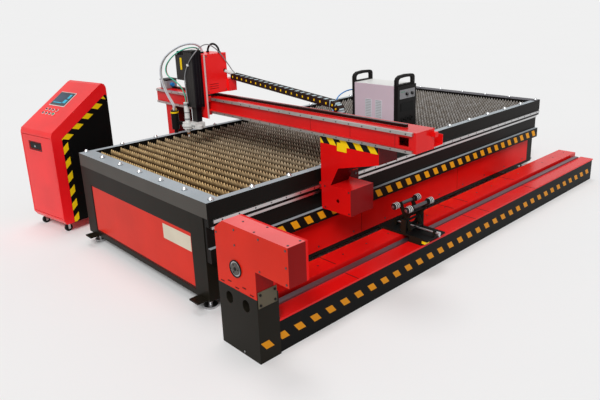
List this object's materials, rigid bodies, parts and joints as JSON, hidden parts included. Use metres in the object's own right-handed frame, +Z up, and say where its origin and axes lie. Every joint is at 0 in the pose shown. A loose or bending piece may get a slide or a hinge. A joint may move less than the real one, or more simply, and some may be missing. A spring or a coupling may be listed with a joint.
{
  "type": "cnc plasma cutting table",
  "caption": "CNC plasma table with slatted bed, travelling gantry and torch carriage, rotary tube unit with chuck, control cabinet and power source.",
  "frame": {"origin": "centre of the bed on the floor, under its middle levelling foot", "axes": "+X across the bed towards the rotary unit, +Y along the bed away from the chuck end, +Z up"},
  "size_m": [3.3071, 4.224, 1.4777],
  "materials": {
    "machine_red": "gloss",
    "frame_dark": "satin",
    "frame_black": "satin",
    "steel": "satin",
    "dark_steel": "satin",
    "chrome": "polished",
    "galvanised": "matte",
    "slat_steel": "rusty",
    "aluminium": "satin",
    "rubber": "matte",
    "source_shell": "satin",
    "black_plastic": "matte",
    "screen_glass": "gloss",
    "button_green": "gloss",
    "button_red": "gloss",
    "torch_white": "satin",
    "hose_green": "satin",
    "hose_blue": "satin"
  },
  "bodies": {
    "table": {"levelling_feet": "steel", "table_frame": "frame_dark", "body_panels": "machine_red", "rail_beams": "frame_black", "rails_and_racks": "steel", "rim_ends": "galvanised", "rim_cap_nuts": "chrome", "slat_tray": "frame_dark", "slats": "slat_steel", "rotary_bed": "frame_black", "rotary_covers": "machine_red", "rotary_guide": "steel", "headstock_block": "frame_black", "headstock_housing": "machine_red", "rotary_motor": "frame_dark", "drive_belt": "rubber", "psu_case": "source_shell", "psu_ends": "black_plastic", "cabinet_body": "machine_red", "cabinet_sides": "frame_black", "screen": "screen_glass", "caster_forks": "steel", "air_hose": "hose_blue"},
    "gantry": {"gantry_beam": "machine_red", "gantry_columns": "machine_red", "motor_boxes": "machine_red", "x_rails": "steel", "chain_trough": "machine_red"},
    "y_pinions": {"y_pinions": "steel"},
    "carriage": {"carriage_plate": "machine_red", "carriage_cover": "machine_red", "lifter_body": "frame_black", "drag_chain": "black_plastic", "torch_hoses": "hose_green"},
    "x_pinion": {"x_pinion": "steel"},
    "chain_bend": {"chain_bend": "black_plastic"},
    "torch_slide": {"lift_slide": "aluminium", "torch_clamp": "torch_white", "torch": "torch_white", "aux_torch": "black_plastic"},
    "spindle": {"spindle": "steel", "chuck_body": "dark_steel"},
    "jaw_1": {"jaw_1": "steel"},
    "jaw_2": {"jaw_2": "steel"},
    "jaw_3": {"jaw_3": "steel"},
    "motor_pulley": {"motor_pulley": "steel"},
    "roller_support": {"roller_base": "frame_black"},
    "lift_screw": {"lift_screw": "steel"},
    "arm_a": {"arm_a": "frame_black"},
    "arm_b": {"arm_b": "frame_black"},
    "roller_a": {"roller_a": "steel"},
    "roller_b": {"roller_b": "steel"},
    "cabinet_door": {"cabinet_door": "machine_red"},
    "door_latch": {"door_latch": "black_plastic"},
    "start_button": {"start_button": "button_green"},
    "stop_button": {"stop_button": "button_red"},
    "front_wheels": {"front_wheels": "rubber"},
    "rear_wheels": {"rear_wheels": "rubber"},
    "psu_knob_1": {"psu_knob_1": "black_plastic"},
    "psu_knob_2": {"psu_knob_2": "black_plastic"}
  },
  "joints": [
    {"name": "gantry_travel", "type": "slide", "parent": "table", "child": "gantry", "axis": [0, 1, 0], "range_m": [-0.56, 0.85], "deforming": ["air_hose"]},
    {"name": "y_pinion_turn", "type": "hinge", "parent": "gantry", "child": "y_pinions", "pos_m": [0, -1.0015, 0.51], "axis": [1, 0, 0], "range_deg": [-1100, 1650]},
    {"name": "carriage_travel", "type": "slide", "parent": "gantry", "child": "carriage", "axis": [1, 0, 0], "range_m": [-0.33, 1.65], "deforming": ["drag_chain"]},
    {"name": "x_pinion_turn", "type": "hinge", "parent": "carriage", "child": "x_pinion", "pos_m": [-0.41, -1.0285, 1.105], "axis": [0, 1, 0], "range_deg": [-800, 3900]},
    {"name": "chain_bend_travel", "type": "slide", "parent": "carriage", "child": "chain_bend", "axis": [1, 0, 0], "range_m": [-0.83, 0.17], "deforming": ["drag_chain"]},
    {"name": "torch_lift", "type": "slide", "parent": "carriage", "child": "torch_slide", "axis": [0, 0, 1], "range_m": [-0.05, 0.11], "deforming": ["torch_hoses"]},
    {"name": "spindle_turn", "type": "hinge", "parent": "table", "child": "spindle", "pos_m": [1.257, -1.97, 0.49], "axis": [0, 1, 0], "continuous": true},
    {"name": "jaw_1_slide", "type": "slide", "parent": "spindle", "child": "jaw_1", "axis": [0, 0, 1], "range_m": [-0.02, 0.006]},
    {"name": "jaw_2_slide", "type": "slide", "parent": "spindle", "child": "jaw_2", "axis": [-0.866, 0, -0.5], "range_m": [-0.02, 0.006]},
    {"name": "jaw_3_slide", "type": "slide", "parent": "spindle", "child": "jaw_3", "axis": [0.866, 0, -0.5], "range_m": [-0.02, 0.006]},
    {"name": "motor_pulley_turn", "type": "hinge", "parent": "table", "child": "motor_pulley", "pos_m": [1.54, -2.018, 0.66], "axis": [0, 1, 0], "continuous": true},
    {"name": "support_travel", "type": "slide", "parent": "table", "child": "roller_support", "axis": [0, 1, 0], "range_m": [-1.04, 2.36]},
    {"name": "screw_turn", "type": "hinge", "parent": "roller_support", "child": "lift_screw", "pos_m": [1.257, -0.626, 0.27234], "axis": [1, 0, 0], "range_deg": [-1080, 1080]},
    {"name": "arm_a_swing", "type": "hinge", "parent": "roller_support", "child": "arm_a", "pos_m": [1.257, -0.626, 0.33], "axis": [0, 1, 0], "range_deg": [-7.2, 7.2]},
    {"name": "arm_b_swing", "type": "hinge", "parent": "roller_support", "child": "arm_b", "pos_m": [1.257, -0.626, 0.33], "axis": [0, 1, 0], "range_deg": [-7.2, 7.2]},
    {"name": "roller_a_turn", "type": "hinge", "parent": "arm_a", "child": "roller_a", "pos_m": [1.31, -0.626, 0.43483], "axis": [0, 1, 0], "continuous": true},
    {"name": "roller_b_turn", "type": "hinge", "parent": "arm_b", "child": "roller_b", "pos_m": [1.204, -0.626, 0.43483], "axis": [0, 1, 0], "continuous": true},
    {"name": "door_swing", "type": "hinge", "parent": "table", "child": "cabinet_door", "pos_m": [-1.53075, -2.15073, 0.46], "axis": [0, 0, -1], "range_deg": [0, 110]},
    {"name": "latch_lift", "type": "hinge", "parent": "cabinet_door", "child": "door_latch", "pos_m": [-1.35793, -2.1264, 0.73], "axis": [-0.9877, -0.1564, 0], "range_deg": [0, 35]},
    {"name": "start_press", "type": "slide", "parent": "table", "child": "start_button", "axis": [-0.0859, 0.5422, -0.8358], "range_m": [0, 0.003], "stiffness_N_per_m": 500, "springref_m": -0.003},
    {"name": "stop_press", "type": "slide", "parent": "table", "child": "stop_button", "axis": [-0.0859, 0.5422, -0.8358], "range_m": [0, 0.003], "stiffness_N_per_m": 500, "springref_m": -0.003},
    {"name": "front_wheels_turn", "type": "hinge", "parent": "table", "child": "front_wheels", "pos_m": [-1.33675, -2.06837, 0.03], "axis": [0.9877, 0.1564, 0], "continuous": true},
    {"name": "rear_wheels_turn", "type": "hinge", "parent": "table", "child": "rear_wheels", "pos_m": [-1.40308, -1.64959, 0.03], "axis": [0.9877, 0.1564, 0], "continuous": true},
    {"name": "knob_1_turn", "type": "hinge", "parent": "table", "child": "psu_knob_1", "pos_m": [0.595, 0.1704, 0.997], "axis": [1, 0, 0], "range_deg": [0, 270]},
    {"name": "knob_2_turn", "type": "hinge", "parent": "table", "child": "psu_knob_2", "pos_m": [0.595, 0.24, 0.997], "axis": [1, 0, 0], "range_deg": [0, 270]}
  ],
  "couplings": [
    {"joint": "y_pinion_turn", "follows": "gantry_travel", "rad_per_m": 33.333},
    {"joint": "x_pinion_turn", "follows": "carriage_travel", "rad_per_m": 40},
    {"joint": "chain_bend_travel", "follows": "carriage_travel", "ratio": -0.5},
    {"joint": "jaw_2_slide", "follows": "jaw_1_slide", "ratio": 1},
    {"joint": "jaw_3_slide", "follows": "jaw_1_slide", "ratio": 1},
    {"joint": "motor_pulley_turn", "follows": "spindle_turn", "ratio": 2.5},
    {"joint": "arm_a_swing", "follows": "screw_turn", "ratio": 0.0064815},
    {"joint": "arm_b_swing", "follows": "screw_turn", "ratio": -0.0064815}
  ]
}
